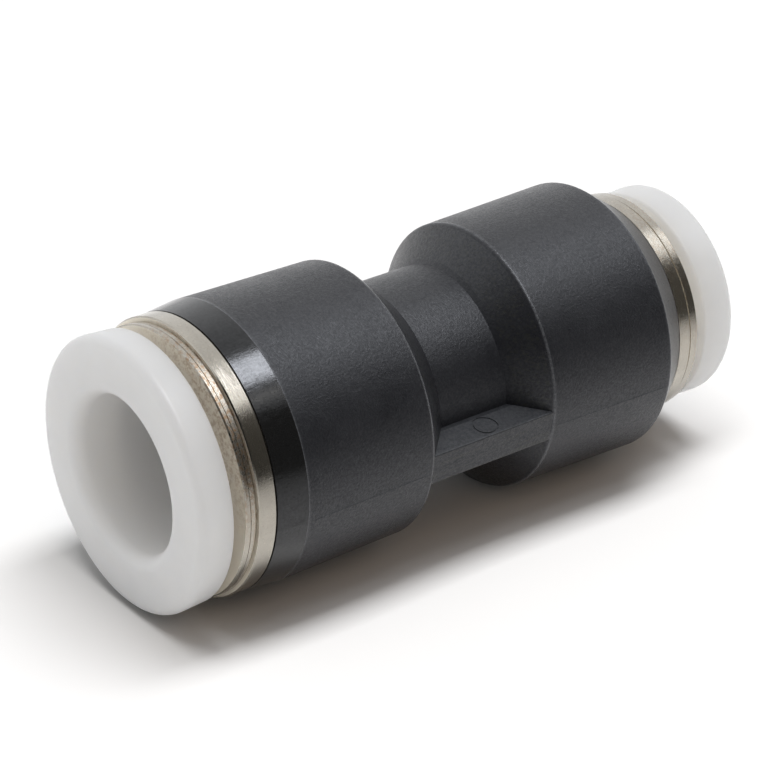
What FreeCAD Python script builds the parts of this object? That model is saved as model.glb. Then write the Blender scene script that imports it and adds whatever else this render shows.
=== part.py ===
import FreeCAD, Part
import math
import os

import Sketcher
from FreeCAD import Placement, Rotation, Vector

# Straight reducing union for plastic tube: push-in connectors for a large and a small tube
# at the two ends of one moulded body.
#
# Frame: millimetres, +Z along the tube axis from the large port to the small one, with the
# origin on the front face of the large release sleeve, on which the union stands. The two
# ribs of the waist lie along +X and -X.
#
# Every port is drawn in a frame of its own that starts at the front face of its release
# sleeve and looks into the body. The small port's pieces are the same features with other
# sizes, turned end for end.

SIZES = {
    # Tubes that the ports take
    "large_tube_diameter": 9.53,
    "small_tube_diameter": 7.94,
    # Body, outside
    "large_end_wall": 1.435,
    "large_band_length": 2.0,
    "large_band_rise": 0.215,
    "large_shell_taper": 0.155,
    "waist_wall": 1.525,
    "waist_length": 4.95,
    "small_end_wall": 1.03,
    "small_band_length": 2.06,
    "small_band_rise": 1.505,
    "small_shell_taper": 0.22,
    "shoulder_wall": 1.42,
    "shoulder_edge_radius": 0.18,
    "band_edge_radius": 0.06,
    # Ribs of the waist
    "rib_thickness": 2.07,
    "rib_inset": 0.02,
    "rib_root": 0.6,
    "rib_edge_radius": 0.08,
    "pin_mark_diameter": 1.6,
    "pin_mark_width": 0.1,
    "pin_mark_depth": 0.05,
    # Body, inside
    "flow_radius": 3.4,
    "large_socket_length": 4.8,
    "small_socket_length": 4.4,
    "mouth_chamfer": 0.35,
    # Release sleeves
    "release_travel": 0.8,
    "large_flange_width": 2.25,
    "large_flange_inset": 0.09,
    "large_flange_taper": 0.13,
    "large_sleeve_wall": 0.95,
    "small_flange_width": 2.45,
    "small_flange_inset": 0.31,
    "small_flange_taper": 0.06,
    "small_sleeve_wall": 0.85,
    "flange_edge_radius": 0.55,
    "flange_back_edge_radius": 0.12,
    "lead_in_radius": 0.85,
    "finger_root": 0.7,
    "finger_gap": 0.8,
    "finger_gap_pairs": 3,
    "bead_length": 0.5,
    "nose_wall": 0.5,
    # Guide rings
    "large_ring_width": 1.95,
    "large_front_land_width": 0.62,
    "large_land_step": 0.27,
    "large_ring_back_gap": 0.12,
    "small_ring_width": 1.6,
    "small_front_land_width": 0.58,
    "small_land_step": 0.1,
    "small_ring_back_gap": 0.03,
    "land_groove_width": 0.1,
    "land_groove_depth": 0.08,
    "scribe_line_width": 0.05,
    "ring_edge_chamfer": 0.08,
    "ring_back_gap_depth": 0.35,
    "large_lip_height": 0.7,
    "small_lip_height": 0.62,
    "lip_length": 3.9,
    "skirt_wall": 0.52,
    "skirt_length": 4.4,
    "barb_pitch": 0.8,
    "barb_depth": 0.12,
    "barb_count": 3,
    # Lock claws
    "claw_thickness": 0.4,
    "claw_rim_width": 0.95,
    "claw_tooth_angle": 35,
    "claw_bite": 0.16,
    "claw_tooth_count": 10,
    "claw_gap_width": 0.7,
    "claw_gap_corner": 0.15,
    # Backing rings
    "backing_length": 2.2,
    "backing_rim_width": 0.75,
    "backing_edge_chamfer": 0.15,
    # Lip seals
    "seal_length": 2.5,
    "seal_squeeze": 0.22,
    "seal_web": 0.85,
    "seal_lip_wall": 0.55,
    "seal_root_wall": 0.75,
    # Clearances
    "tube_clearance": 0.1,
    "slide_clearance": 0.05,
    "seat_clearance": 0.03,
    "spin_clearance": 0.06,
    "stop_gap": 0.05,
    "nose_clearance": 0.15,
    "bead_clearance": 0.28,
}

# Radii and depths that follow from the sizes, for a port named "large" or "small". Depths
# are counted from the front face of the port's release sleeve.
PORT_PLACES = {
    "tube_radius": "Sizes.PORT_tube_diameter / 2",
    "sleeve_bore": "PORT_tube_radius + Sizes.tube_clearance",
    "sleeve_radius": "PORT_sleeve_bore + Sizes.PORT_sleeve_wall",
    "ring_bore": "PORT_sleeve_radius + Sizes.slide_clearance",
    "skirt_bore": "PORT_ring_bore + Sizes.PORT_lip_height",
    "skirt_radius": "PORT_skirt_bore + Sizes.skirt_wall",
    "cavity_radius": "PORT_skirt_radius + Sizes.seat_clearance",
    "end_radius": "PORT_cavity_radius + Sizes.PORT_end_wall",
    "seam_radius": "PORT_end_radius + Sizes.PORT_band_rise",
    "shoulder_radius": "PORT_seam_radius - Sizes.PORT_shell_taper",
    "front_land_radius": "PORT_end_radius - Sizes.PORT_land_step",
    "flange_radius": "PORT_end_radius - Sizes.PORT_flange_inset",
    "flange_back_radius": "PORT_flange_radius - Sizes.PORT_flange_taper",
    "bead_radius": "PORT_skirt_bore - Sizes.bead_clearance",
    "nose_radius": "PORT_sleeve_bore + Sizes.nose_wall",
    "ring_front": "Sizes.PORT_flange_width + Sizes.release_travel + Sizes.stop_gap",
    "body_end": "PORT_ring_front + Sizes.PORT_ring_width",
    "lip_end": "PORT_ring_front + Sizes.lip_length",
    "lip_slope_end": "PORT_lip_end + Sizes.PORT_lip_height",
    "skirt_end": "PORT_body_end + Sizes.skirt_length",
    "claw_front": "PORT_skirt_end + Sizes.spin_clearance",
    "claw_back": "PORT_claw_front + Sizes.claw_thickness",
    "claw_radius": "PORT_cavity_radius - Sizes.spin_clearance",
    "claw_rim_bore": "PORT_claw_radius - Sizes.claw_rim_width",
    "tooth_tip_radius": "PORT_tube_radius - Sizes.claw_bite",
    "tooth_drop": "(PORT_claw_rim_bore - PORT_tooth_tip_radius) * tan(Sizes.claw_tooth_angle * 1 deg)",
    "tooth_back_radius": "PORT_tooth_tip_radius + Sizes.claw_thickness * sin(Sizes.claw_tooth_angle * 1 deg)",
    "tooth_back_depth": "PORT_claw_front + PORT_tooth_drop"
                        " + Sizes.claw_thickness * cos(Sizes.claw_tooth_angle * 1 deg)",
    "tooth_bend_radius": "PORT_claw_rim_bore + Sizes.claw_thickness * tan(Sizes.claw_tooth_angle * 0.5 deg)",
    "nose_end": "PORT_claw_front + (PORT_claw_rim_bore - PORT_nose_radius)"
                " * tan(Sizes.claw_tooth_angle * 1 deg) - Sizes.release_travel - Sizes.nose_clearance",
    "backing_front": "PORT_claw_back + Sizes.spin_clearance",
    "backing_back": "PORT_backing_front + Sizes.backing_length",
    "backing_bore": "PORT_tube_radius + 2 * Sizes.tube_clearance",
    "seated_radius": "PORT_cavity_radius - Sizes.seat_clearance",
    "seal_front": "PORT_backing_back + Sizes.seat_clearance",
    "seal_back": "PORT_seal_front + Sizes.seal_length",
    "seal_bore": "PORT_tube_radius + 3 * Sizes.tube_clearance",
    "seal_lip_radius": "PORT_tube_radius - Sizes.seal_squeeze",
    "cavity_end": "PORT_seal_back + Sizes.seat_clearance",
    "socket_radius": "PORT_tube_radius + Sizes.tube_clearance",
    "socket_end": "PORT_cavity_end + Sizes.PORT_socket_length",
    "shoulder_depth": "PORT_cavity_end + Sizes.shoulder_wall",
    "seam_depth": "PORT_body_end + Sizes.PORT_band_length",
}

# The waist joins the two ports: both cones fall at 45 degrees to it
BODY_PLACES = {
    "waist_radius": "large_socket_radius + Sizes.waist_wall",
    "waist_start": "large_shoulder_depth + large_shoulder_radius - waist_radius",
    "waist_end": "waist_start + Sizes.waist_length",
    "overall_length": "waist_end + small_shoulder_radius - waist_radius + small_shoulder_depth",
    "waist_middle": "waist_start + Sizes.waist_length / 2",
    "rib_reach": "sqrt((small_shoulder_radius - Sizes.rib_inset) ^ 2 - (Sizes.rib_thickness / 2) ^ 2)",
}

PORTS = ("large", "small")

# A coordinate that lies on the sketch's own axis
ZERO = "0"

# Two places closer than this, in millimetres, are the same place
SAME = 1e-3


def add_sheets(doc):
    """The driving sizes, and the places that follow from them."""
    sizes = doc.addObject("Spreadsheet::Sheet", "Sizes")
    for row, (alias, number) in enumerate(SIZES.items(), start=1):
        sizes.set(f"A{row}", alias)
        sizes.set(f"B{row}", str(number))
        sizes.setAlias(f"B{row}", alias)
    doc.recompute()

    places = doc.addObject("Spreadsheet::Sheet", "Places")
    formulas = {}
    for port in PORTS:
        for name, formula in PORT_PLACES.items():
            formulas[f"{port}_{name}"] = formula.replace("PORT", port)
    formulas.update(BODY_PLACES)
    for row, (alias, formula) in enumerate(formulas.items(), start=1):
        places.set(f"A{row}", alias)
        places.set(f"B{row}", "=" + formula)
        places.setAlias(f"B{row}", alias)
    doc.recompute()


def value(expression):
    """The present value of an expression in the names of the sheets."""
    found = FreeCAD.ActiveDocument.getObject("Sizes").evalExpression(expression)
    return float(getattr(found, "Value", found))


def add_body(doc, label):
    body = doc.addObject("PartDesign::Body", label)
    body.Label = label
    return body


def add_sketch(body, name, role):
    """A sketch on one of the body's own origin planes."""
    plane = next(item for item in body.Origin.OriginFeatures if item.Role == role)
    sketch = body.newObject("Sketcher::SketchObject", name)
    sketch.AttachmentSupport = [(plane, "")]
    sketch.MapMode = "FlatFace"
    return sketch


def bind(sketch, kind, places, name, expression):
    """A dimension of the sketch, tied to an expression in the sheets."""
    index = sketch.addConstraint(Sketcher.Constraint(kind, *places, value(expression)))
    sketch.renameConstraint(index, name)
    sketch.setExpression(f"Constraints.{name}", expression)


def tie_point(sketch, point, name, across, along):
    """Ties a point, given as (line, end), to its distances along the sketch's X and Y, which
    are its lines -1 and -2 and start at the point (-1, 1)."""
    if across == ZERO:
        sketch.addConstraint(Sketcher.Constraint("PointOnObject", *point, -2))
    else:
        bind(sketch, "DistanceX", (-1, 1, *point), f"across_{name}", across)
    if along == ZERO:
        sketch.addConstraint(Sketcher.Constraint("PointOnObject", *point, -1))
    else:
        bind(sketch, "DistanceY", (-1, 1, *point), f"along_{name}", along)


def corner_arc(before, corner, after, radius):
    """The arc that rounds a corner, and its ends, 1 for the start and 2 for the end, in the
    order in which the outline passes them."""
    to_before = (before - corner).normalize()
    to_after = (after - corner).normalize()
    half_angle = to_before.getAngle(to_after) / 2
    centre = corner + (to_before + to_after).normalize() * (radius / math.sin(half_angle))
    reach = radius / math.tan(half_angle)
    ends = [corner + to_before * reach, corner + to_after * reach]
    passed = (1, 2)
    if to_before.cross(to_after).z > 0:
        ends.reverse()
        passed = (2, 1)
    angles = [math.atan2(end.y - centre.y, end.x - centre.x) for end in ends]
    return Part.ArcOfCircle(Part.Circle(centre, Vector(0, 0, 1), radius), *angles), passed


def draw_outline(sketch, corners):
    """A closed outline of straight lines, from (across, along) pairs of expressions. A third
    expression in a corner is the radius that rounds it."""
    points = [Vector(value(corner[0]), value(corner[1]), 0) for corner in corners]
    count = len(points)
    for index in range(count):
        sketch.addGeometry(Part.LineSegment(points[index], points[(index + 1) % count]), False)
    for index, corner in enumerate(corners):
        line_before = (index - 1) % count
        across, along, *rounding = corner
        if not rounding:
            sketch.addConstraint(Sketcher.Constraint("Coincident", line_before, 2, index, 1))
            tie_point(sketch, (index, 1), index, across, along)
            continue
        arc, (first, last) = corner_arc(points[index - 1], points[index], points[(index + 1) % count],
                                        value(rounding[0]))
        arc_index = sketch.addGeometry(arc, False)
        point_index = sketch.addGeometry(Part.Point(points[index]), True)
        sketch.addConstraint([
            Sketcher.Constraint("PointOnObject", point_index, 1, line_before),
            Sketcher.Constraint("PointOnObject", point_index, 1, index),
            Sketcher.Constraint("Tangent", line_before, 2, arc_index, first),
            Sketcher.Constraint("Tangent", index, 1, arc_index, last),
        ])
        tie_point(sketch, (point_index, 1), index, across, along)
        bind(sketch, "Radius", (arc_index,), f"rounding_{index}", rounding[0])


def turn(body, name, corners, kind="PartDesign::Revolution"):
    """A full turn about Z of an outline whose corners are (radius, height)."""
    sketch = add_sketch(body, f"{name}_profile", "XZ_Plane")
    draw_outline(sketch, corners)
    before = body.Shape.Volume if kind == "PartDesign::Groove" else 0.0
    feature = body.newObject(kind, name)
    feature.Profile = sketch
    feature.ReferenceAxis = (sketch, ["V_Axis"])
    feature.Angle = 360
    body.Document.recompute()
    if kind == "PartDesign::Groove" and feature.Shape.Volume >= before:
        raise RuntimeError(f"{name} removes nothing")
    return feature


def circle_edges(shape, radius, height):
    """Names of the whole or part circles about Z of this radius at this height."""
    names = []
    for index, edge in enumerate(shape.Edges, start=1):
        curve = edge.Curve
        if not isinstance(curve, Part.Circle):
            continue
        off_axis = math.hypot(curve.Center.x, curve.Center.y)
        off_radius = abs(curve.Radius - value(radius))
        off_height = abs(curve.Center.z - value(height))
        if max(off_axis, off_radius, off_height) < SAME:
            names.append(f"Edge{index}")
    if not names:
        raise RuntimeError(f"no edge of radius {radius} at {height}")
    return names


def chamfer(body, name, circles, size):
    """A chamfer on circles about Z, given as (radius, height)."""
    base = body.Tip
    feature = body.newObject("PartDesign::Chamfer", name)
    feature.Base = (base, [edge for circle in circles for edge in circle_edges(base.Shape, *circle)])
    feature.setExpression("Size", size)
    body.Document.recompute()


def cut_around(body, name, role, corners, copies, step_angle):
    """A pocket of an outline, through everything both ways, repeated about Z."""
    before = body.Shape.Volume
    sketch = add_sketch(body, f"{name}_outline", role)
    draw_outline(sketch, corners)
    pocket = body.newObject("PartDesign::Pocket", name)
    pocket.Profile = sketch
    pocket.Type = "ThroughAll"
    pocket.SideType = "Symmetric"
    body.Document.recompute()
    pattern = body.newObject("PartDesign::PolarPattern", f"{name}_pattern")
    pattern.Originals = [pocket]
    pattern.Axis = (next(item for item in body.Origin.OriginFeatures if item.Role == "Z_Axis"), [""])
    pattern.Mode = "Spacing"
    pattern.setExpression("Offset", step_angle)
    pattern.setExpression("Occurrences", copies)
    body.Tip = pattern
    body.Document.recompute()
    if body.Shape.Volume >= before:
        raise RuntimeError(f"{name} cuts nothing")


def place_port_piece(body, port):
    """The large port's pieces stay as drawn, and the small port's are turned end for end."""
    if port == "small":
        body.Placement = Placement(Vector(0, 0, 0), Rotation(Vector(1, 0, 0), 180))
        body.setExpression("Placement.Base.z", "Places.overall_length")


def make_release_sleeve(doc, port):
    """Moulded sleeve that is pushed in to free the tube: a flange with a soft outer edge and
    a rounded mouth, a plain barrel, and snap fingers whose bead catches behind the guide ring."""
    body = add_body(doc, f"{port}_release_sleeve")
    bore = f"Places.{port}_sleeve_bore"
    barrel = f"Places.{port}_sleeve_radius"
    flange_back = f"Sizes.{port}_flange_width"
    bead = f"Places.{port}_bead_radius"
    bead_foot = f"Places.{port}_lip_end + Sizes.stop_gap"
    bead_crest = f"{bead_foot} + {bead} - {barrel}"
    nose_end = f"Places.{port}_nose_end"
    turn(body, f"{port}_sleeve_body", [
        (bore, ZERO, "Sizes.lead_in_radius"),
        (f"Places.{port}_flange_radius", ZERO, "Sizes.flange_edge_radius"),
        (f"Places.{port}_flange_back_radius", flange_back, "Sizes.flange_back_edge_radius"),
        (barrel, flange_back),
        (barrel, bead_foot),
        (bead, bead_crest),
        (bead, f"{bead_crest} + Sizes.bead_length"),
        (f"Places.{port}_nose_radius", nose_end),
        (f"{bore} + Sizes.nose_wall / 2", nose_end),
        (bore, f"{nose_end} - Sizes.nose_wall"),
    ])
    half_gap = "Sizes.finger_gap / 2"
    gap_root = f"Places.{port}_lip_end - Sizes.finger_root"
    gap_mouth = f"{nose_end} + Sizes.nose_wall"
    cut_around(body, f"{port}_finger_gap", "XZ_Plane", [
        (f"-{half_gap}", gap_root),
        (half_gap, gap_root),
        (half_gap, gap_mouth),
        (f"-{half_gap}", gap_mouth),
    ], "Sizes.finger_gap_pairs", "180 / Sizes.finger_gap_pairs")
    place_port_piece(body, port)
    return body


def make_guide_ring(doc, port):
    """Turned and plated brass ring pressed into the body: a stepped collar in front, an inner
    lip that holds the sleeve's bead, and a thin barbed skirt that clamps the claw in place.
    The large ring has a scribed line round its front land."""
    body = add_body(doc, f"{port}_guide_ring")
    bore = f"Places.{port}_ring_bore"
    front = f"Places.{port}_ring_front"
    end = f"Places.{port}_body_end"
    land = f"Places.{port}_front_land_radius"
    land_end = f"{front} + Sizes.{port}_front_land_width"
    groove = f"{land} - Sizes.land_groove_depth"
    groove_end = f"{land_end} + Sizes.land_groove_width"
    wide = f"Places.{port}_end_radius"
    undercut = f"{wide} - Sizes.ring_back_gap_depth"
    gap_front = f"{end} - Sizes.{port}_ring_back_gap"
    skirt = f"Places.{port}_skirt_radius"
    skirt_end = f"Places.{port}_skirt_end"
    corners = [
        (bore, front),
        (land, front),
        (land, land_end),
        (groove, f"{land_end} + Sizes.land_groove_width / 2"),
        (groove, groove_end),
        (wide, groove_end),
        (wide, gap_front),
        (undercut, gap_front),
        (undercut, end),
        (skirt, end),
    ]
    for barb in range(int(value("Sizes.barb_count")), 0, -1):
        crest = f"{skirt_end} - {barb} * Sizes.barb_pitch"
        corners.append((skirt, crest))
        corners.append((f"{skirt} - Sizes.barb_depth", crest))
    corners += [
        (skirt, f"{skirt_end} - Sizes.barb_depth"),
        (f"{skirt} - Sizes.barb_depth", skirt_end),
        (f"Places.{port}_skirt_bore", skirt_end),
        (f"Places.{port}_skirt_bore", f"Places.{port}_lip_slope_end"),
        (bore, f"Places.{port}_lip_end"),
    ]
    turn(body, f"{port}_ring_body", corners)
    if port == "large":
        land_middle = f"{front} + Sizes.large_front_land_width / 2"
        outside_land = f"{land} + Sizes.scribe_line_width"
        turn(body, "scribe_line", [
            (outside_land, f"{land_middle} - Sizes.scribe_line_width"),
            (f"{land} - Sizes.scribe_line_width", land_middle),
            (outside_land, f"{land_middle} + Sizes.scribe_line_width"),
        ], "PartDesign::Groove")
    chamfer(body, f"{port}_ring_edges", [(land, front), (wide, groove_end)], "Sizes.ring_edge_chamfer")
    place_port_piece(body, port)
    return body


def make_lock_claw(doc, port):
    """Pressed spring steel ring: a flat rim, and sharp teeth bent towards the tube stop that
    let the tube in and bite when it is pulled."""
    body = add_body(doc, f"{port}_lock_claw")
    outside = f"Places.{port}_claw_radius"
    rim = f"Places.{port}_claw_rim_bore"
    tip = f"Places.{port}_tooth_tip_radius"
    front = f"Places.{port}_claw_front"
    back = f"Places.{port}_claw_back"
    turn(body, f"{port}_claw_body", [
        (outside, front),
        (outside, back),
        (f"Places.{port}_tooth_bend_radius", back),
        (f"Places.{port}_tooth_back_radius", f"Places.{port}_tooth_back_depth"),
        (tip, f"{front} + Places.{port}_tooth_drop"),
        (rim, front),
    ])
    half_gap = "Sizes.claw_gap_width / 2"
    corner = "Sizes.claw_gap_corner"
    mouth = f"{tip} - Sizes.claw_thickness"
    cut_around(body, f"{port}_tooth_gap", "XY_Plane", [
        (mouth, f"-{half_gap}"),
        (f"{rim} - {corner}", f"-{half_gap}"),
        (rim, f"{corner} - {half_gap}"),
        (rim, f"{half_gap} - {corner}"),
        (f"{rim} - {corner}", half_gap),
        (mouth, half_gap),
    ], "Sizes.claw_tooth_count", "360 / Sizes.claw_tooth_count")
    place_port_piece(body, port)
    return body


def make_backing_ring(doc, port):
    """Moulded ring behind the claw: its front rim carries the claw, its hollow cone leaves
    room for the teeth, and its back face carries the seal."""
    body = add_body(doc, f"{port}_backing_ring")
    front = f"Places.{port}_backing_front"
    back = f"Places.{port}_backing_back"
    outside = f"Places.{port}_seated_radius"
    rim = f"{outside} - Sizes.backing_rim_width"
    bore = f"Places.{port}_backing_bore"
    turn(body, f"{port}_backing_body", [
        (outside, front),
        (outside, back),
        (bore, back),
        (bore, f"{front} + {rim} - {bore}"),
        (rim, front),
    ])
    chamfer(body, f"{port}_backing_edge", [(outside, back)], "Sizes.backing_edge_chamfer")
    place_port_piece(body, port)
    return body


def make_lip_seal(doc, port):
    """Rubber lip seal: a solid web against the backing ring, and two lips towards the tube
    stop, the outer on the cavity wall and the inner on the tube."""
    body = add_body(doc, f"{port}_lip_seal")
    front = f"Places.{port}_seal_front"
    back = f"Places.{port}_seal_back"
    outside = f"Places.{port}_seated_radius"
    bore = f"Places.{port}_seal_bore"
    lip = f"Places.{port}_seal_lip_radius"
    wall = "Sizes.seal_lip_wall"
    web = f"{front} + Sizes.seal_web"
    turn(body, f"{port}_seal_body", [
        (outside, front),
        (outside, f"{back} - {wall}"),
        (f"{outside} - {wall} / 2", back),
        (f"{outside} - {wall}", back),
        (f"{outside} - Sizes.seal_root_wall", web),
        (f"{bore} + {wall}", web),
        (f"{lip} + {wall}", back),
        (f"{lip} + {wall} / 2", back),
        (lip, f"{back} - {wall}"),
        (bore, web),
        (bore, front),
    ])
    place_port_piece(body, port)
    return body


def port_height(port, depth):
    """Height above the standing face of a depth counted from a port's own front face."""
    return depth if port == "large" else f"Places.overall_length - ({depth})"


def add_shell(body):
    """The outside, turned: two drafted shells that fall to the waist, with a band of another
    taper at each open end."""
    end, seam, shoulder = ({port: (f"Places.{port}_{place}_radius",
                                   port_height(port, f"Places.{port}_{depth}")) for port in PORTS}
                           for place, depth in (("end", "body_end"), ("seam", "seam_depth"),
                                                ("shoulder", "shoulder_depth")))
    waist = "Places.waist_radius"
    turn(body, "outline", [
        (ZERO, end["large"][1]),
        end["large"],
        (*seam["large"], "Sizes.band_edge_radius"),
        (*shoulder["large"], "Sizes.shoulder_edge_radius"),
        (waist, "Places.waist_start"),
        (waist, "Places.waist_end"),
        (*shoulder["small"], "Sizes.shoulder_edge_radius"),
        (*seam["small"], "Sizes.band_edge_radius"),
        end["small"],
        (ZERO, end["small"][1]),
    ])


def add_ribs(body):
    """A plate along X that fills the waist up to just inside the shoulders, and on its -Y side
    the round mark of an ejector pin in the middle of either rib."""
    reach = "Places.rib_reach"
    side = "Sizes.rib_thickness / 2"
    foot = port_height("large", "Places.large_shoulder_depth - Sizes.rib_root")
    head = port_height("small", "Places.small_shoulder_depth - Sizes.rib_root")
    sketch = add_sketch(body, "rib_section", "XY_Plane")
    sketch.setExpression("AttachmentOffset.Base.z", foot)
    draw_outline(sketch, [
        (f"-{reach}", f"-{side}", "Sizes.rib_edge_radius"),
        (reach, f"-{side}", "Sizes.rib_edge_radius"),
        (reach, side, "Sizes.rib_edge_radius"),
        (f"-{reach}", side, "Sizes.rib_edge_radius"),
    ])
    ribs = body.newObject("PartDesign::Pad", "ribs")
    ribs.Profile = sketch
    ribs.setExpression("Length", f"{head} - ({foot})")
    body.Document.recompute()

    marks = add_sketch(body, "pin_mark_rings", "XZ_Plane")
    marks.setExpression("AttachmentOffset.Base.z", side)
    middle = f"({reach} + Places.waist_radius) / 2"
    outer = "Sizes.pin_mark_diameter / 2"
    radii = (outer, f"{outer} - Sizes.pin_mark_width")
    for rib, across in (("right", middle), ("left", f"-{middle}")):
        centre = Vector(value(across), value("Places.waist_middle"), 0)
        for number, radius in enumerate(radii):
            circle = marks.addGeometry(Part.Circle(centre, Vector(0, 0, 1), value(radius)), False)
            tie_point(marks, (circle, 3), f"{rib}_{number}", across, "Places.waist_middle")
            bind(marks, "Radius", (circle,), f"radius_{rib}_{number}", radius)
    pin_marks = body.newObject("PartDesign::Pocket", "pin_marks")
    pin_marks.Profile = marks
    pin_marks.Type = "Length"
    pin_marks.setExpression("Length", "Sizes.pin_mark_depth")
    before = body.Shape.Volume
    body.Document.recompute()
    if body.Shape.Volume >= before:
        raise RuntimeError("the pin marks cut nothing")


def add_bore(body):
    """The stepped way through: at either end a wide cavity for the inner pieces and a socket
    for the tube end, and between the sockets the flow bore, whose steps are the tube stops."""
    chamfer = "Sizes.mouth_chamfer"
    for port in PORTS:
        mouth = f"Places.{port}_body_end"
        cavity = f"Places.{port}_cavity_radius"
        cavity_end = f"Places.{port}_cavity_end"
        socket = f"Places.{port}_socket_radius"
        socket_end = f"Places.{port}_socket_end"
        corners = [
            (ZERO, f"{mouth} - {chamfer}"),
            (f"{cavity} + 2 * {chamfer}", f"{mouth} - {chamfer}"),
            (cavity, f"{mouth} + {chamfer}"),
            (cavity, cavity_end),
            (f"{socket} + {chamfer}", cavity_end),
            (socket, f"{cavity_end} + {chamfer}"),
            (socket, socket_end),
            (ZERO, socket_end),
        ]
        turn(body, f"{port}_cavity", [(across, port_height(port, along)) for across, along in corners],
             "PartDesign::Groove")
    near = f"{port_height('large', 'Places.large_socket_end')} - {chamfer}"
    far = f"{port_height('small', 'Places.small_socket_end')} + {chamfer}"
    turn(body, "flow_bore", [
        (ZERO, near),
        ("Sizes.flow_radius", near),
        ("Sizes.flow_radius", far),
        (ZERO, far),
    ], "PartDesign::Groove")


def make_body(doc):
    """One moulding that carries both ports."""
    body = add_body(doc, "union_body")
    add_shell(body)
    add_ribs(body)
    add_bore(body)
    return body


def main():
    doc = FreeCAD.newDocument("reducing_union")
    add_sheets(doc)
    pieces = [make_body(doc)]
    for port in PORTS:
        pieces += [
            make_release_sleeve(doc, port),
            make_guide_ring(doc, port),
            make_lock_claw(doc, port),
            make_backing_ring(doc, port),
            make_lip_seal(doc, port),
        ]
    doc.recompute()

    for item in doc.Objects:
        if "Invalid" in item.State or "Error" in item.State:
            raise RuntimeError(f"{item.Label} failed: {item.State}")
    os.makedirs("parts", exist_ok=True)
    for piece in pieces:
        shape = piece.Shape
        if shape.isNull() or not shape.isValid() or len(shape.Solids) != 1:
            raise RuntimeError(f"{piece.Label} is not one valid solid")
        shape.exportStep(f"parts/{piece.Label}.step")


main()
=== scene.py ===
import math
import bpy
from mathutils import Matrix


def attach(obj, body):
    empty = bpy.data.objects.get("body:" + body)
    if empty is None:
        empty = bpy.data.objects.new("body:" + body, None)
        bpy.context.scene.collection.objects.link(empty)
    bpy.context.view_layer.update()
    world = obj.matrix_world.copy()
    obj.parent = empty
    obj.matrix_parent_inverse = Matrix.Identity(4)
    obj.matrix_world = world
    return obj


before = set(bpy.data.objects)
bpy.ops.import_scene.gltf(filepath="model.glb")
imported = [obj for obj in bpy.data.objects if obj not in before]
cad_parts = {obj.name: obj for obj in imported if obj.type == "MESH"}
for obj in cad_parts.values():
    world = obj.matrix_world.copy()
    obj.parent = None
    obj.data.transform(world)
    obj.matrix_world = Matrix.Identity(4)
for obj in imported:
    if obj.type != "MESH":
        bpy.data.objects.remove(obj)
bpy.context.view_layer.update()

from types import SimpleNamespace

import bpy
from mathutils import Matrix, Vector

MM = 0.001

# How the fitting lies: its axis is Z, it touches the floor at FLOOR_TOUCH, and FLOOR_UP points
# straight up from the floor.
FLOOR_UP = Vector((-0.15703, -0.98759, -0.00329)).normalized()
FLOOR_TOUCH = Vector((1.3766, 8.6562, 7.05)) * MM
MIDDLE = Vector((0.0, 0.0, 19.65)) * MM

# The photograph's camera.
CAMERA_PLACE = Vector((116.419, -107.978, -80.928)) * MM
CAMERA_TARGET = Vector((-0.024, -0.026, 18.987)) * MM
CAMERA_LENS = 145.3
CAMERA_SENSOR = 36.0
CAMERA_NEAR = 0.01
CAMERA_FAR = 10.0

# The camera's right and its straight ahead, both level with the floor.
RIGHT = (CAMERA_TARGET - CAMERA_PLACE).cross(FLOOR_UP).normalized()
AHEAD = FLOOR_UP.cross(RIGHT).normalized()

# Heights between which the body is grained. Below them its band is polished, above them satin.
LARGE_SEAM = 7.05 * MM
SMALL_SEAM = 34.425 * MM

# The turned outer edges of the body, as (radius, height) in millimetres. Up to the first distance below
# from them the plastic is smoother and painted paler as a highlight, and less and less so up to the
# second.
TURNED_EDGES = ((8.765, 7.05), (8.61, 16.15), (8.455, 25.385), (8.675, 34.425))
EDGE_SHEEN_FULL = 0.06 * MM
EDGE_SHEEN_END = 0.20 * MM

# The ribs between the shoulders: how far from the axis they start, and their ends.
RIB_ROOT = 6.65 * MM
RIB_FROM = 16.4 * MM
RIB_TO = 25.2 * MM

# Radii of the release sleeves' bores. The bore's whiter, warmer colour, painted as light that comes
# through the wall, and its smaller glow reach BORE_SKIN into the wall, and are gone at BORE_DEPTH.
LARGE_BORE = 4.815 * MM
SMALL_BORE = 4.02 * MM
BORE_SKIN = 0.05 * MM
BORE_DEPTH = 0.7 * MM

# The guide rings are worn on this side, as (turn, rise) in degrees: not yet at WORN_FROM from the
# axis, and fully at WORN_TO. A land out to NARROW_LAND is worn, and one from WIDE_LAND hardly is.
WORN_SIDE = (143.0, 48.0)
WORN_FROM = 3.6 * MM
WORN_TO = 8.1 * MM
NARROW_LAND = 8.34 * MM
WIDE_LAND = 8.46 * MM

# The mould's parting line stands up from the body as a ridge. Each run is a row of (distance
# from the axis, height, how far it stands up) in millimetres.
RIDGE_WIDTH = 0.06 * MM
RIDGE_ROOT = 0.03 * MM
PARTING_RUNS = {
    "large": ((8.763, 7.15, 0.001), (8.7455, 8.2, 0.014), (8.613, 15.95, 0.014), (8.52, 16.2, 0.004)),
    "rib": ((8.37, 16.45, 0.010), (8.37, 25.10, 0.010)),
    "small": ((8.38, 25.33, 0.004), (8.459, 25.6, 0.014), (8.672, 34.25, 0.014), (8.668, 34.40, 0.001)),
}

# The range that most values of a noise are in.
NOISE_RANGE = (0.3, 0.7)


def studio(turn, rise):
    """A direction: turn is to the right of straight ahead, rise is above the floor, in degrees."""
    turned = math.radians(turn)
    raised = math.radians(rise)
    level = AHEAD * math.cos(turned) + RIGHT * math.sin(turned)
    return level * math.cos(raised) + FLOOR_UP * math.sin(raised)


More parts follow.
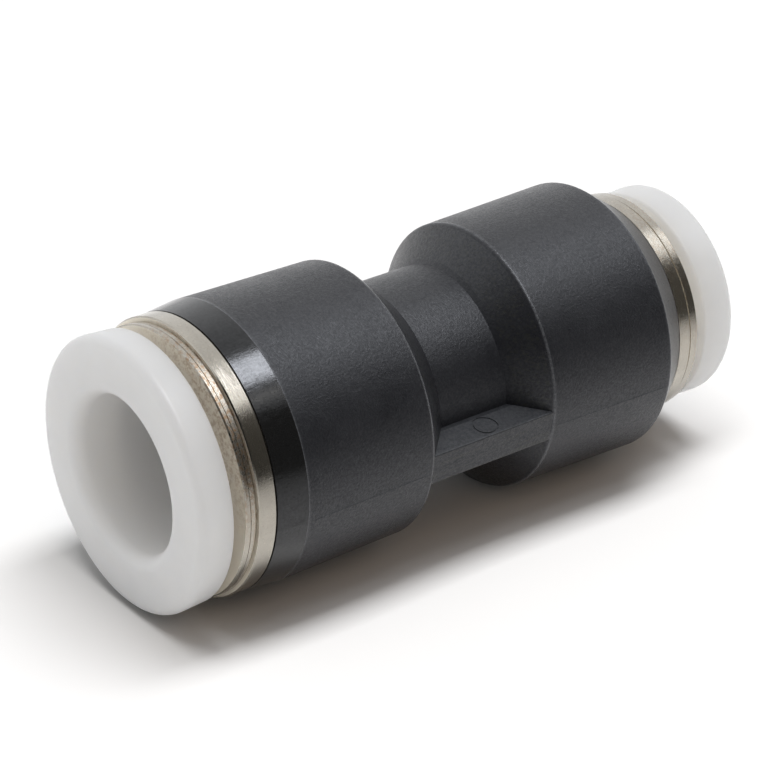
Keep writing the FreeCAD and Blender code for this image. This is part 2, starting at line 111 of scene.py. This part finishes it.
def facing(place, target, up):
    """A matrix at place whose -Z looks at target."""
    back = (place - target).normalized()
    side = up.cross(back).normalized()
    top = back.cross(side)
    turned = Matrix((side, top, back)).transposed().to_4x4()
    return Matrix.Translation(place) @ turned


def add_object(name, data):
    made = bpy.data.objects.new(name, data)
    bpy.context.scene.collection.objects.link(made)
    return made


def add_mesh(name, corners, faces, material):
    mesh = bpy.data.meshes.new(name)
    mesh.from_pydata(corners, [], faces)
    mesh.materials.append(material)
    return add_object(name, mesh)


def add_camera():
    data = bpy.data.cameras.new("camera")
    data.sensor_width = CAMERA_SENSOR
    data.lens = CAMERA_LENS
    data.clip_start = CAMERA_NEAR
    data.clip_end = CAMERA_FAR
    camera = add_object("camera", data)
    camera.matrix_world = facing(CAMERA_PLACE, CAMERA_TARGET, FLOOR_UP)
    bpy.context.scene.camera = camera


class Tree:
    """A node tree with short calls."""

    def __init__(self, owner):
        owner.use_nodes = True
        self.graph = owner.node_tree
        self.graph.nodes.clear()

    def node(self, kind, inputs=None, **settings):
        made = self.graph.nodes.new(kind)
        for name, setting in settings.items():
            setattr(made, name, setting)
        for name, given in (inputs or {}).items():
            self.feed(made.inputs[name], given)
        return made

    def feed(self, socket, given):
        """Link given to the socket, or set it there as a constant."""
        if isinstance(given, bpy.types.NodeSocket):
            self.graph.links.new(given, socket)
        else:
            socket.default_value = given

    def math(self, operation, first, second):
        return self.node("ShaderNodeMath", {0: first, 1: second}, operation=operation).outputs[0]

    def add(self, first, second):
        return self.math("ADD", first, second)

    def multiply(self, first, second):
        return self.math("MULTIPLY", first, second)

    def above(self, value, limit):
        """1 where value is over limit, and 0 elsewhere."""
        return self.math("GREATER_THAN", value, limit)

    def below(self, value, limit):
        """1 where value is under limit, and 0 elsewhere."""
        return self.math("LESS_THAN", value, limit)

    def vector_math(self, operation, first, second=None):
        inputs = {0: first} if second is None else {0: first, 1: second}
        return self.node("ShaderNodeVectorMath", inputs, operation=operation).outputs["Value"]

    def along(self, vector, direction):
        """How far vector reaches in a direction."""
        return self.vector_math("DOT_PRODUCT", vector, tuple(direction))

    def place(self):
        return self.node("ShaderNodeTexCoord").outputs["Object"]

    def normal(self):
        """The X, Y and Z of the surface's normal."""
        return self.apart(self.node("ShaderNodeTexCoord").outputs["Normal"])

    def apart(self, vector):
        return self.node("ShaderNodeSeparateXYZ", {"Vector": vector}).outputs

    def from_axis(self, spot):
        """How far a spot's X and Y are from the fitting's axis."""
        flat = self.node("ShaderNodeCombineXYZ", {"X": spot["X"], "Y": spot["Y"]}).outputs[0]
        return self.vector_math("LENGTH", flat)

    def stretched(self, vector, scale):
        return self.node("ShaderNodeMapping", {"Vector": vector, "Scale": scale}).outputs[0]

    def noise(self, vector, size, detail=2.0, rough=0.5):
        """Noise whose features are about size metres across."""
        inputs = {"Vector": vector, "Scale": 1.0 / size, "Detail": detail, "Roughness": rough}
        return self.node("ShaderNodeTexNoise", inputs).outputs["Fac"]

    def between(self, value, low, high, to_low=0.0, to_high=1.0):
        """value from low to high becomes to_low to to_high, and stays there outside."""
        inputs = {"Value": value, "From Min": low, "From Max": high, "To Min": to_low, "To Max": to_high}
        return self.node("ShaderNodeMapRange", inputs).outputs[0]

    def spread(self, noise, to_low=0.0, to_high=1.0):
        """Noise over its usual range becomes to_low to to_high."""
        return self.between(noise, *NOISE_RANGE, to_low, to_high)

    def mix(self, share, first, second):
        """A number between first and second."""
        return self.node("ShaderNodeMix", {"Factor": share, 2: first, 3: second}).outputs[0]

    def blend(self, share, first, second):
        """A colour between first and second."""
        made = self.node("ShaderNodeMix", {"Factor": share}, data_type="RGBA")
        for socket, given in ((made.inputs[6], first), (made.inputs[7], second)):
            self.feed(socket, (*given, 1.0) if isinstance(given, tuple) else given)
        return made.outputs[2]

    def bump(self, height, distance, strength, normal=None):
        inputs = {"Height": height, "Distance": distance, "Strength": strength}
        if normal is not None:
            inputs["Normal"] = normal
        return self.node("ShaderNodeBump", inputs).outputs[0]

    def mirrored(self):
        """1 for a ray that a mirror or gloss sends on."""
        return self.node("ShaderNodeLightPath").outputs["Is Glossy Ray"]

    def shown_to_eye(self):
        """1 for a ray that shows the backdrop itself, straight or in a mirror."""
        ray = self.node("ShaderNodeLightPath").outputs
        straight = self.math("MAXIMUM", ray["Is Camera Ray"], ray["Is Glossy Ray"])
        return self.math("MAXIMUM", straight, ray["Is Transmission Ray"])

    def fade(self, share, first, second):
        """A shader between first and second."""
        inputs = {0: share, 1: first.outputs[0], 2: second.outputs[0]}
        return self.node("ShaderNodeMixShader", inputs)

    def finish(self, shader, output="ShaderNodeOutputMaterial"):
        self.node(output, {"Surface": shader.outputs[0]})


def new_material(name):
    material = bpy.data.materials.new(name)
    return material, Tree(material)


def principled(tree, inputs):
    tree.finish(tree.node("ShaderNodeBsdfPrincipled", inputs))


# Materials

# The body's plastic: two close tones, the grain's specks, its scuffs and polished band, a painted sheen on
# the ribs' tops and a painted highlight on the turned edges.
BODY_DARK = (0.0060, 0.0063, 0.0095)
BODY_PALE = (0.0095, 0.0099, 0.0135)
BODY_SPECKS = (0.013, 0.0135, 0.0172)
BODY_POLISHED = (0.012, 0.012, 0.012)
RIB_STREAKS = (0.020, 0.020, 0.015)
# Painted sheen on the ribs' upward faces.
RIB_TOP_SHEEN = (0.060, 0.063, 0.070)
# Painted highlight on the turned edges.
EDGE_HIGHLIGHT_COLOUR = (0.12, 0.124, 0.134)
BODY_SHEEN = (0.945, 0.965, 1.0, 1.0)
# Its roughness, as (least, most) on the shells and the bands, and on the rubbed edges.
BODY_MATTE = (0.38, 0.44)
BODY_SATIN = (0.27, 0.36)
BODY_GLOSSY = (0.10, 0.22)
BODY_RUBBED = 0.22
# How strongly it reflects, as (least, most) from the pits of its grain to the tops.
BODY_SHINE = (0.39, 0.575)
# How deep its grain, its draw marks and its dents are.
GRAIN_DEPTH = 0.040 * MM
DRAW_DEPTH = 0.005 * MM
DENT_DEPTH = 0.009 * MM


def turned_edges(tree, radius, height):
    """1 on the body's turned outer edges, and 0 away from them."""
    section = tree.node("ShaderNodeCombineXYZ", {"X": radius, "Y": height}).outputs[0]
    edges = 0.0
    for out, up in TURNED_EDGES:
        away = tree.vector_math("DISTANCE", section, (out * MM, up * MM, 0.0))
        edges = tree.math("MAXIMUM", edges, tree.between(away, EDGE_SHEEN_FULL, EDGE_SHEEN_END, 1.0, 0.0))
    return edges


def body_pattern(tree):
    """Masks of the body's regions, and the noises that its finish is made from."""
    place = tree.place()
    spot = tree.apart(place)
    radius = tree.from_axis(spot)
    rib = tree.multiply(tree.above(radius, RIB_ROOT), tree.above(spot["Z"], RIB_FROM))
    rib = tree.multiply(rib, tree.below(spot["Z"], RIB_TO))
    # The ribs' upward faces, which get a painted sheen.
    faces_top = tree.between(tree.normal()["Y"], -0.9, -0.6, 1.0, 0.0)
    return SimpleNamespace(
        polished=tree.below(spot["Z"], LARGE_SEAM),
        satin=tree.above(spot["Z"], SMALL_SEAM),
        edge=turned_edges(tree, radius, spot["Z"]),
        rib=rib,
        rib_top_sheen=tree.multiply(rib, faces_top),
        grain=tree.noise(place, 0.16 * MM, detail=4.0, rough=0.75),
        mottle=tree.noise(place, 0.55 * MM, detail=3.0, rough=0.6),
        cloud=tree.noise(place, 3.5 * MM, detail=3.0),
        dents=tree.noise(place, 0.28 * MM, detail=5.0, rough=0.72),
        scuff=tree.noise(tree.stretched(place, (1.0, 1.0, 0.06)), 0.18 * MM, detail=3.0),
        draw=tree.noise(tree.stretched(place, (1.0, 1.0, 0.12)), 0.10 * MM, detail=3.0),
    )


def body_colour(tree, body):
    """Black in two tones with specks. Its ribs are scuffed lengthwise. The ribs' upward tops get a painted
    sheen, and the turned edges a painted highlight."""
    colour = tree.blend(tree.spread(body.cloud), BODY_DARK, BODY_PALE)
    colour = tree.blend(tree.between(body.grain, 0.49, 0.66, 0.0, 0.8), colour, BODY_SPECKS)
    streaks = tree.multiply(body.rib, tree.between(body.scuff, 0.5, 0.62, 0.0, 0.6))
    colour = tree.blend(streaks, colour, RIB_STREAKS)
    # The ribs' upward faces are painted paler, as a sheen from the light above.
    top = tree.multiply(body.rib_top_sheen, tree.between(body.grain, 0.35, 0.65, 0.4, 1.0))
    colour = tree.blend(top, colour, RIB_TOP_SHEEN)
    # The turned edges are painted paler, as a highlight broken up by the grain.
    edge_highlight = tree.between(body.grain, 0.35, 0.65, 0.3, 0.8)
    edge_highlight = tree.multiply(tree.math("POWER", body.edge, 3.0), edge_highlight)
    colour = tree.blend(edge_highlight, colour, EDGE_HIGHLIGHT_COLOUR)
    return tree.blend(body.polished, colour, BODY_POLISHED)


def body_roughness(tree, body):
    """Matte with smoother grains, smooth on the turned edges, satin and polished on the bands."""
    rough = tree.between(body.cloud, 0.35, 0.65, *BODY_MATTE)
    rough = tree.add(rough, tree.between(body.scuff, 0.66, 0.8, 0.0, 0.08))
    rough = tree.add(rough, tree.spread(body.grain, 0.08, -0.14))
    rough = tree.add(rough, tree.spread(body.mottle, -0.025, 0.025))
    rough = tree.mix(body.edge, rough, BODY_RUBBED)
    rough = tree.mix(body.satin, rough, tree.spread(body.draw, *BODY_SATIN))
    return tree.mix(body.polished, rough, tree.spread(body.draw, *BODY_GLOSSY))


def body_shine(tree, body):
    """How strongly the plastic reflects, a little more on its grains."""
    shine = tree.between(body.grain, 0.34, 0.66, *BODY_SHINE)
    return tree.add(shine, tree.spread(body.mottle, -0.035, 0.035))


def body_relief(tree, body):
    """Spark-eroded grain on the shells, draw marks on the bands, and dents in the polished one."""
    banded = tree.add(body.polished, body.satin)
    grained = tree.multiply(body.grain, tree.math("SUBTRACT", 1.0, banded))
    marks = tree.bump(tree.multiply(body.draw, banded), DRAW_DEPTH, 0.5)
    dents = tree.bump(tree.multiply(body.dents, body.polished), DENT_DEPTH, 0.6, marks)
    return tree.bump(grained, GRAIN_DEPTH, 0.8, dents)


def body_plastic():
    """Black moulded plastic with a fine grain."""
    material, tree = new_material("body_plastic_grained")
    body = body_pattern(tree)
    principled(tree, {
        "Base Color": body_colour(tree, body),
        "Roughness": body_roughness(tree, body),
        "Normal": body_relief(tree, body),
        "IOR": 1.5,
        "Specular IOR Level": body_shine(tree, body),
        "Specular Tint": BODY_SHEEN,
    })
    return material


# The sleeves' plastic: two close whites, a whiter and warmer one painted in the bore as light that comes
# through the wall, how far each colour of light goes in it beside red, and how much of it glows, in the
# bore and outside.
SLEEVE_DIM = (0.89, 0.895, 0.90)
SLEEVE_BRIGHT = (0.92, 0.925, 0.93)
SLEEVE_BORE_LIT = (1.0, 0.985, 0.965)
SLEEVE_SPREAD = (1.0, 0.97, 0.92)
SLEEVE_GLOW = (0.7, 1.0)


def sleeve_plastic():
    """White translucent plastic, softly matte."""
    material, tree = new_material("sleeve_plastic_white")
    place = tree.place()
    cloud = tree.noise(place, 2.5 * MM, detail=3.0)
    grain = tree.noise(place, 0.22 * MM)
    spot = tree.apart(place)
    bore = tree.mix(tree.above(spot["Z"], MIDDLE.z), LARGE_BORE, SMALL_BORE)
    depth = tree.math("SUBTRACT", tree.from_axis(spot), bore)
    outside = tree.between(depth, BORE_SKIN, BORE_DEPTH)
    white = tree.blend(tree.spread(cloud), SLEEVE_DIM, SLEEVE_BRIGHT)
    principled(tree, {
        # The bore is painted whiter and warmer, as light that comes through the wall.
        "Base Color": tree.blend(outside, SLEEVE_BORE_LIT, white),
        "Roughness": tree.spread(cloud, 0.38, 0.46),
        "Subsurface Weight": tree.mix(outside, *SLEEVE_GLOW),
        "Subsurface Radius": SLEEVE_SPREAD,
        "Subsurface Scale": 3.0 * MM,
        "Normal": tree.bump(grain, 0.006 * MM, 0.4),
        "IOR": 1.48,
    })
    return material


# The guide rings' plating: two close tones, its pits, and its stains where it is worn.
PLATING_DIM = (0.352, 0.331, 0.291)
PLATING_BRIGHT = (0.402, 0.379, 0.333)
PLATING_STAIN = (0.26, 0.155, 0.08)
PIT_DARK = (0.20, 0.165, 0.125)
PIT_BRIGHT = (0.60, 0.53, 0.42)
# The flat faces are painted far paler than the lands, as light in the shaded gap behind the sleeve.
RING_FACE_LIT = (0.86, 0.81, 0.72)
RING_FACE_STAIN = (0.60, 0.50, 0.39)
# Its roughness, as (least, most) where it is bright and where it is worn, and on the front face.
RING_BRIGHT = (0.09, 0.22)
RING_WORN = (0.26, 0.46)
RING_MATTE = 0.60


def ring_wear(tree, place):
    """1 where a ring is worn: on one side, on the narrow lands, and less at the small end."""
    spot = tree.apart(place)
    side = tree.between(tree.along(place, studio(*WORN_SIDE)), WORN_FROM, WORN_TO)
    narrow = tree.between(tree.from_axis(spot), NARROW_LAND, WIDE_LAND, 1.0, 0.05)
    worn = tree.multiply(side, narrow)
    return tree.multiply(worn, tree.between(spot["Z"], LARGE_SEAM, SMALL_SEAM, 1.0, 0.4))


def plated_brass():
    """Nickel-plated turned brass, pitted, with dull brown stains where it is worn, and a matte front face
    that is painted pale as light in the shaded gap behind the sleeve."""
    material, tree = new_material("plated_brass_turned")
    place = tree.place()
    turned = tree.noise(tree.stretched(place, (0.04, 0.04, 1.0)), 0.05 * MM, detail=3.0)
    pits = tree.noise(place, 0.10 * MM, detail=3.0, rough=0.6)
    cloud = tree.noise(place, 1.2 * MM, detail=3.0)
    stain = tree.noise(tree.stretched(place, (1.0, 1.0, 1.6)), 0.30 * MM, detail=5.0, rough=0.7)
    worn = ring_wear(tree, place)
    browned = tree.multiply(tree.between(stain, 0.46, 0.60), worn)
    face = tree.above(tree.math("ABSOLUTE", tree.normal()["Z"], 0.0), 0.9)

    colour = tree.blend(tree.spread(cloud), PLATING_DIM, PLATING_BRIGHT)
    colour = tree.blend(tree.multiply(browned, 0.85), colour, PLATING_STAIN)
    colour = tree.blend(tree.between(pits, 0.25, 0.42, 0.6, 0.0), colour, PIT_DARK)
    colour = tree.blend(tree.between(pits, 0.62, 0.72, 0.0, 0.6), colour, PIT_BRIGHT)
    dull = tree.between(stain, 0.4, 0.6, *RING_WORN)
    rough = tree.mix(tree.math("POWER", worn, 2.0), tree.spread(pits, *RING_BRIGHT), dull)
    # Flat faces are painted pale, as light in the gap behind the sleeve; their brown stains are real.
    principled(tree, {
        "Base Color": tree.blend(face, colour, tree.blend(browned, RING_FACE_LIT, RING_FACE_STAIN)),
        "Metallic": 1.0,
        "Roughness": tree.mix(face, rough, RING_MATTE),
        "Normal": tree.bump(pits, 0.011 * MM, 0.45, tree.bump(turned, 0.012 * MM, 0.4)),
    })
    return material


def spring_steel():
    """Bright stamped stainless strip."""
    material, tree = new_material("spring_steel_rolled")
    rolled = tree.noise(tree.stretched(tree.place(), (1.0, 0.05, 1.0)), 0.05 * MM)
    principled(tree, {
        "Base Color": tree.blend(rolled, (0.50, 0.50, 0.49), (0.62, 0.62, 0.61)),
        "Metallic": 1.0,
        "Roughness": tree.spread(rolled, 0.22, 0.34),
        "Normal": tree.bump(rolled, 0.004 * MM, 0.3),
    })
    return material


def inner_plastic():
    """Off-white glass-filled plastic."""
    material, tree = new_material("inner_plastic_filled")
    fibres = tree.noise(tree.stretched(tree.place(), (1.0, 1.0, 0.3)), 0.12 * MM, detail=3.0)
    principled(tree, {
        "Base Color": tree.blend(fibres, (0.50, 0.49, 0.46), (0.62, 0.61, 0.58)),
        "Roughness": tree.spread(fibres, 0.42, 0.58),
        "Normal": tree.bump(fibres, 0.008 * MM, 0.4),
    })
    return material


def seal_rubber():
    """Black nitrile rubber with a bloom."""
    material, tree = new_material("seal_rubber_black")
    bloom = tree.noise(tree.place(), 0.4 * MM, detail=4.0)
    principled(tree, {
        "Base Color": tree.blend(bloom, (0.012, 0.012, 0.012), (0.030, 0.030, 0.029)),
        "Roughness": tree.spread(bloom, 0.45, 0.70),
        "Normal": tree.bump(bloom, 0.006 * MM, 0.4),
    })
    return material


def dress_nodes():
    """Each CAD node gets the finish of its record slot."""
    made = {
        "body_plastic": body_plastic(),
        "sleeve_plastic": sleeve_plastic(),
        "plated_brass": plated_brass(),
        "spring_steel": spring_steel(),
        "inner_plastic": inner_plastic(),
        "seal_rubber": seal_rubber(),
    }
    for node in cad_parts.values():
        for slot in node.material_slots:
            slot.material = made[slot.material.name.split(".")[0]]


def add_parting_line(name, run, side):
    """A hair of plastic along the body where the mould halves met, at +X or -X."""
    half = RIDGE_WIDTH / 2
    corners = []
    for out, height, proud in run:
        foot = side * (out * MM - RIDGE_ROOT)
        crest = side * (out + proud) * MM
        corners += [(foot, -half, height * MM), (crest, 0.0, height * MM), (foot, half, height * MM)]
    last = len(corners) - 3
    faces = [(2, 1, 0), (last, last + 1, last + 2)]
    for start in range(0, last, 3):
        for corner in range(3):
            after = (corner + 1) % 3
            faces.append((start + corner, start + after, start + 3 + after, start + 3 + corner))
    if side < 0:
        faces = [tuple(reversed(face)) for face in faces]
    made = add_mesh(name, corners, faces, bpy.data.materials["body_plastic_grained"])
    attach(made, "body")


def add_parting_lines():
    for place, run in PARTING_RUNS.items():
        add_parting_line("parting_line_" + place + "_right", run, 1)
        add_parting_line("parting_line_" + place + "_left", run, -1)


# Studio

# The floor's half width, and its tint as it lights things, as it is seen, and as it is mirrored.
FLOOR_HALF = 0.6
FLOOR_TINT = (0.29, 0.29, 0.29)
FLOOR_SEEN_TINT = (0.50, 0.50, 0.50)
FLOOR_MIRRORED_TINT = (0.57, 0.57, 0.57)


def add_stage(name, corners, material):
    """One flat face of the stage."""
    made = add_mesh(name, [tuple(c) for c in corners], [tuple(range(len(corners)))], material)
    return made


def on_floor(right, ahead, rise=0.0):
    middle = MIDDLE + FLOOR_UP * (FLOOR_TOUCH - MIDDLE).dot(FLOOR_UP)
    return middle + RIGHT * right + AHEAD * ahead + FLOOR_UP * rise


def add_floor():
    """A pale floor, seen from above only."""
    material, tree = new_material("floor_white")
    tint = tree.blend(tree.shown_to_eye(), FLOOR_TINT, FLOOR_SEEN_TINT)
    tint = tree.blend(tree.mirrored(), tint, FLOOR_MIRRORED_TINT)
    lit = tree.node("ShaderNodeBsdfDiffuse", {"Color": tint})
    below = tree.node("ShaderNodeNewGeometry").outputs["Backfacing"]
    clear = tree.node("ShaderNodeBsdfTransparent")
    tree.finish(tree.fade(below, lit, clear))
    half = FLOOR_HALF
    corners = [on_floor(-half, -half), on_floor(half, -half), on_floor(half, half), on_floor(-half, half)]
    return add_stage("floor", corners, material)


# The dim side of the room, from ahead on the right to behind on the left, as turns and rises in
# degrees. It rises from ROOM_TOP to ROOM_TOP_BEHIND over the turns of ROOM_CLIMB.
ROOM_FROM = 82.0
ROOM_TO = 235.0
ROOM_STEPS = 18
ROOM_TOP = 44.0
ROOM_TOP_BEHIND = 58.0
ROOM_CLIMB = (130.0, 160.0)
ROOM_DISTANCE = 0.45
ROOM_FOOT = 0.5 * MM
# A reflection shows it in ROOM_AHEAD up to the turn ROOM_TURN, and in ROOM_BEHIND past it. What
# it lights gets ROOM_LIGHT.
ROOM_TURN = 115.0
ROOM_BLUR = 0.03
ROOM_AHEAD = (0.11, 0.105, 0.095)
ROOM_BEHIND = (0.04, 0.039, 0.037)
ROOM_LIGHT = (0.45, 0.435, 0.41)


def never_in_view(made):
    made.visible_camera = False
    made.visible_transmission = False
    made.visible_volume_scatter = False


def room_card():
    """A dim wall, darker behind, that lights softly as a warm grey."""
    material, tree = new_material("room_dark")
    across = studio(ROOM_TURN + 90.0, 0.0)
    split = MIDDLE.dot(across)
    behind = tree.between(tree.along(tree.place(), across), split - ROOM_BLUR, split + ROOM_BLUR)
    dark = tree.blend(behind, ROOM_AHEAD, ROOM_BEHIND)
    colour = tree.blend(tree.mirrored(), ROOM_LIGHT, dark)
    tree.finish(tree.node("ShaderNodeEmission", {"Color": colour, "Strength": 1.0}))
    material.cycles.emission_sampling = "NONE"
    return material


def room_top(turn):
    """How high the room's wall rises at a turn, in degrees."""
    climbed = (turn - ROOM_CLIMB[0]) / (ROOM_CLIMB[1] - ROOM_CLIMB[0])
    return ROOM_TOP + (ROOM_TOP_BEHIND - ROOM_TOP) * min(max(climbed, 0.0), 1.0)


def add_room():
    material = room_card()
    low = []
    high = []
    for step in range(ROOM_STEPS + 1):
        turn = ROOM_FROM + (ROOM_TO - ROOM_FROM) * step / ROOM_STEPS
        right = math.sin(math.radians(turn)) * ROOM_DISTANCE
        ahead = math.cos(math.radians(turn)) * ROOM_DISTANCE
        height = ROOM_DISTANCE * math.tan(math.radians(room_top(turn)))
        low.append(on_floor(right, ahead, ROOM_FOOT))
        high.append(on_floor(right, ahead, height))
    for step in range(ROOM_STEPS):
        corners = [low[step], low[step + 1], high[step + 1], high[step]]
        never_in_view(add_stage("room_" + str(step), corners, material))


# The painted shade on the table to the fitting's right, which only reflections see: (metres from the axis,
# share of the dark), the turn in which it darkens, and how far above the floor the card for it lies.
TABLE_SHADE_STEPS = ((0.014, 0.0), (0.027, 0.22), (0.039, 0.40), (0.067, 0.60), (0.095, 0.75), (0.130, 1.0))
TABLE_TURN = 150.0
TABLE_RISE = 0.3 * MM


def table_shade_material(outward):
    """A painted shade: clear at the fitting and as dark as the room far out on the table."""
    material, tree = new_material("table_shade_paint")
    reach = TABLE_SHADE_STEPS[-1][0]
    away = tree.math("SUBTRACT", tree.along(tree.place(), outward), MIDDLE.dot(outward))
    ramp = tree.node("ShaderNodeValToRGB", {0: tree.math("DIVIDE", away, reach)})
    stops = ramp.color_ramp.elements
    for _ in TABLE_SHADE_STEPS[len(stops):]:
        stops.new(0.5)
    for stop, (metres, dark) in zip(stops, TABLE_SHADE_STEPS):
        stop.position = metres / reach
        stop.color = (dark, dark, dark, 1.0)
    clear = tree.node("ShaderNodeBsdfTransparent")
    dim = tree.node("ShaderNodeEmission", {"Color": (*ROOM_BEHIND, 1.0)})
    tree.finish(tree.fade(ramp.outputs[0], clear, dim))
    material.cycles.emission_sampling = "NONE"
    return material


def add_painted_table_shade():
    """A painted shade on the table to the fitting's right, darker with distance, which only reflections
    see.
    """
    outward = studio(TABLE_TURN, 0.0)
    along = outward.cross(FLOOR_UP) * FLOOR_HALF
    near = on_floor(0.0, 0.0, TABLE_RISE) + outward * TABLE_SHADE_STEPS[0][0]
    far = near + outward * FLOOR_HALF
    corners = [near + along, near - along, far - along, far + along]
    made = add_stage("table_shade_card", corners, table_shade_material(outward))
    never_in_view(made)
    made.visible_diffuse = False
    made.visible_shadow = False


def add_softbox(name, turn, rise, distance, width, height, radiance, colour, along=None, shine_only=False):
    """A soft light that looks at the fitting. radiance 1 is as bright as white paper. along is
    the turn that its height lies along."""
    data = bpy.data.lights.new(name, "AREA")
    data.shape = "RECTANGLE"
    data.size = width
    data.size_y = height
    data.energy = radiance * math.pi * width * height
    data.color = colour
    lamp = add_object(name, data)
    top = FLOOR_UP if along is None else studio(along, 0.0)
    lamp.matrix_world = facing(MIDDLE + studio(turn, rise) * distance, MIDDLE, top)
    lamp.visible_camera = False
    lamp.visible_diffuse = not shine_only
    return lamp


def light_only(lamp, lit):
    """The lamp lights one object alone; the others still throw their shadow on it."""
    receivers = bpy.data.collections.new(lamp.name + "_lights")
    receivers.objects.link(lit)
    lamp.light_linking.receiver_collection = receivers


# The key lamp's place. Its shine is a lamp of its own, because the photograph's highlights are
# strong for its soft light. It stands behind the key lamp, or one would hide the other.
KEY = {"turn": 100.0, "rise": 73.5, "width": 0.19, "height": 0.19, "along": 142.0}
KEY_COLOUR = (0.95, 0.96, 1.0)
SHINE_COLOUR = (0.93, 0.95, 1.0)
TABLE_COLOUR = (1.0, 1.0, 1.0)
WARM_COLOUR = (1.0, 0.50, 0.15)
GLOW_COLOUR = (0.95, 0.97, 1.0)
GLINT_COLOUR = (1.0, 0.94, 0.86)


def add_key():
    add_softbox("key", distance=0.50, radiance=2.8, colour=KEY_COLOUR, **KEY)
    add_softbox("key_shine", distance=0.52, radiance=10.0, colour=SHINE_COLOUR, shine_only=True, **KEY)


def add_table_lamps(floor):
    """A long lamp overhead that whitens the floor round the shadow, and a warm one for its edge."""
    light = add_softbox(
        "table_light", turn=84.0, rise=85.0, distance=0.5, width=0.16, height=0.46,
        radiance=16.6, colour=TABLE_COLOUR, along=53.0,
    )
    warmth = add_softbox(
        "table_warmth", turn=150.0, rise=40.0, distance=0.5, width=0.30, height=0.30,
        radiance=0.85, colour=WARM_COLOUR,
    )
    for lamp in (light, warmth):
        light_only(lamp, floor)


def add_reflections():
    """Lamps that only gloss shows: a wide dim glow and a small warm glint."""
    add_softbox(
        "glow", turn=73.0, rise=51.0, distance=0.54, width=0.30, height=0.055,
        radiance=2.1, colour=GLOW_COLOUR, shine_only=True,
    )
    add_softbox(
        "glint", turn=112.5, rise=51.5, distance=0.54, width=0.06, height=0.05,
        radiance=2.4, colour=GLINT_COLOUR, shine_only=True,
    )


# How bright the world is to what it lights, and as it is seen. Reflections show the room's walls
# and its ceiling instead, and one turns into the other between these sines of the rise.
WORLD_LIGHT = 0.71
WORLD_SEEN = 1.05
WORLD_TINT = (0.985, 0.99, 1.0)
WALLS_MIRRORED = 1.15
CEILING_MIRRORED = 0.88
WALLS_TO_CEILING = (0.70, 0.93)


def add_world():
    world = bpy.data.worlds.new("world")
    bpy.context.scene.world = world
    tree = Tree(world)
    rise = tree.along(tree.node("ShaderNodeTexCoord").outputs["Generated"], FLOOR_UP)
    room = tree.between(rise, *WALLS_TO_CEILING, WALLS_MIRRORED, CEILING_MIRRORED)
    plain = tree.mix(tree.shown_to_eye(), WORLD_LIGHT, WORLD_SEEN)
    strength = tree.mix(tree.mirrored(), plain, room)
    sky = tree.node("ShaderNodeBackground", {"Color": (*WORLD_TINT, 1.0), "Strength": strength})
    world.cycles.sampling_method = "NONE"
    tree.finish(sky, "ShaderNodeOutputWorld")


add_camera()
dress_nodes()
add_parting_lines()
floor = add_floor()
add_room()
add_painted_table_shade()
add_key()
add_table_lamps(floor)
add_reflections()
add_world()
bpy.context.scene.view_settings.view_transform = "Standard"
